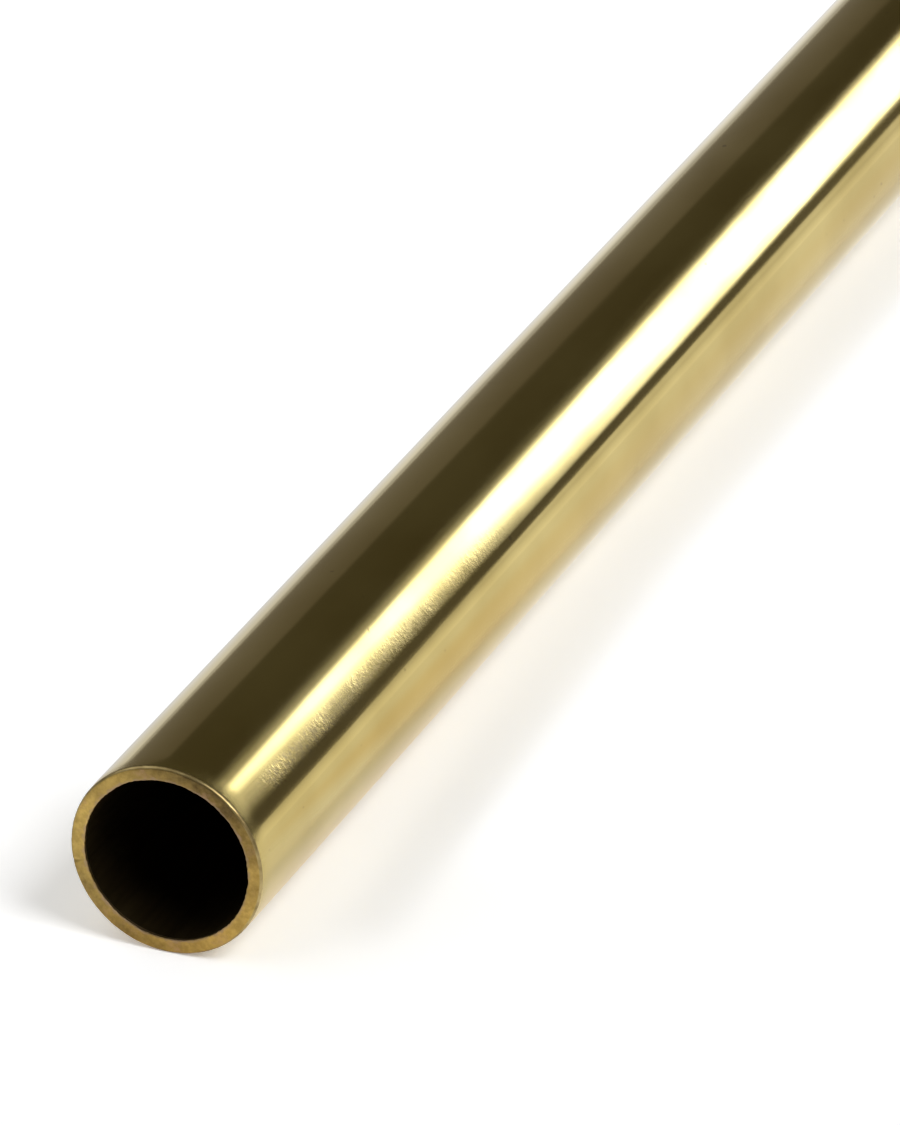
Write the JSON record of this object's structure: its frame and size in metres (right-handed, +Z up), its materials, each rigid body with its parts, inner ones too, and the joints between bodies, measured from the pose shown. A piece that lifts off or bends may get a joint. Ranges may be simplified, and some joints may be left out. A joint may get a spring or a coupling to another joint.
{
  "type": "brass tube",
  "caption": "Straight length of thin-walled round brass tube with a polished outside and square sawn, deburred ends.",
  "frame": {"origin": "middle of the tube's length, on the line where it touches the floor", "axes": "+Y along the tube's axis, away from the end that the picture shows; +Z up"},
  "size_m": [0.0126, 0.3048, 0.0127],
  "materials": {
    "brass": "polished"
  },
  "bodies": {
    "root": {"tube": "brass"}
  },
  "joints": []
}
